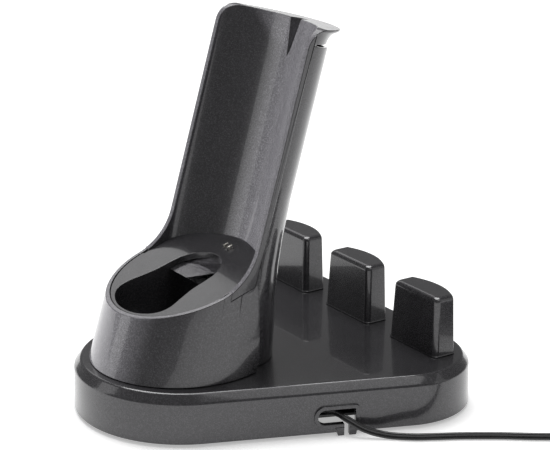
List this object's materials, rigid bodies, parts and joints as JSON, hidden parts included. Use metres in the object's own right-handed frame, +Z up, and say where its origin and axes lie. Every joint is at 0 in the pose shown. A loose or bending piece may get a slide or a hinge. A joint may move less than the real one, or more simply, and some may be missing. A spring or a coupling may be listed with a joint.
{
  "type": "hand vacuum charging stand",
  "caption": "Freestanding charging stand: leaning half-pipe cradle with a nozzle well and sprung contacts, a D-shaped base with accessory posts, and a wall adapter on a lead.",
  "frame": {"origin": "centre of the base's footprint, at the bottom of the rubber feet, leaving out the lead and its adapter", "axes": "+Z up; -X towards the round pod, +X towards the accessory posts and the way the cradle leans; the lead leaves on the -Y side"},
  "size_m": [0.3504, 0.373, 0.2281],
  "materials": {
    "shell_plastic": "charcoal, glossy, fine metallic fleck",
    "inner_plastic": "matt black",
    "rubber": "matt",
    "contact_metal": "nickel plated",
    "screw_steel": "zinc plated",
    "lead_vinyl": "black vinyl, glossy",
    "wire_red": "vinyl",
    "wire_black": "vinyl",
    "adapter_plastic": "black, fine texture",
    "circuit_board": "green solder mask",
    "transformer_iron": "varnished iron laminations"
  },
  "bodies": {
    "stand": {"base_housing": "shell_plastic", "base_plate": "inner_plastic", "cradle_shell": "shell_plastic", "docking_deck": "shell_plastic", "rear_cover": "shell_plastic", "attachment_post_left": "shell_plastic", "attachment_post_middle": "shell_plastic", "attachment_post_right": "shell_plastic", "contact_housing": "inner_plastic", "contact_spring_left": "contact_metal", "contact_spring_right": "contact_metal", "contact_wire_left": "wire_red", "contact_wire_right": "wire_black", "lead_clamp": "inner_plastic", "power_lead": "lead_vinyl", "lead_tail": "lead_vinyl", "lead_coil": "lead_vinyl", "coil_tie": "inner_plastic", "adapter_cup": "adapter_plastic", "adapter_face": "adapter_plastic", "adapter_prong_left": "contact_metal", "adapter_prong_right": "contact_metal", "adapter_relief": "lead_vinyl", "transformer_core": "transformer_iron", "adapter_board": "circuit_board", "rubber_foot_1": "rubber", "rubber_foot_2": "rubber", "rubber_foot_3": "rubber", "rubber_foot_4": "rubber", "rubber_foot_5": "rubber", "plate_screw_1": "screw_steel", "plate_screw_2": "screw_steel", "plate_screw_3": "screw_steel", "plate_screw_4": "screw_steel", "cradle_screw_1": "screw_steel", "cradle_screw_2": "screw_steel", "cradle_screw_3": "screw_steel", "cradle_screw_4": "screw_steel", "clamp_screw_1": "screw_steel", "clamp_screw_2": "screw_steel", "post_screw_left": "screw_steel", "post_screw_middle": "screw_steel", "post_screw_right": "screw_steel"},
    "contact_left": {"contact_blade_left": "contact_metal"},
    "contact_right": {"contact_blade_right": "contact_metal"}
  },
  "joints": [
    {"name": "contact_left_press", "type": "slide", "parent": "stand", "child": "contact_left", "axis": [-0.3117, 0, 0.9502], "range_m": [-0.0013, 0], "stiffness_N_per_m": 200, "deforming": ["contact_spring_left"]},
    {"name": "contact_right_press", "type": "slide", "parent": "stand", "child": "contact_right", "axis": [-0.3117, 0, 0.9502], "range_m": [-0.0013, 0], "stiffness_N_per_m": 200, "deforming": ["contact_spring_right"]}
  ]
}
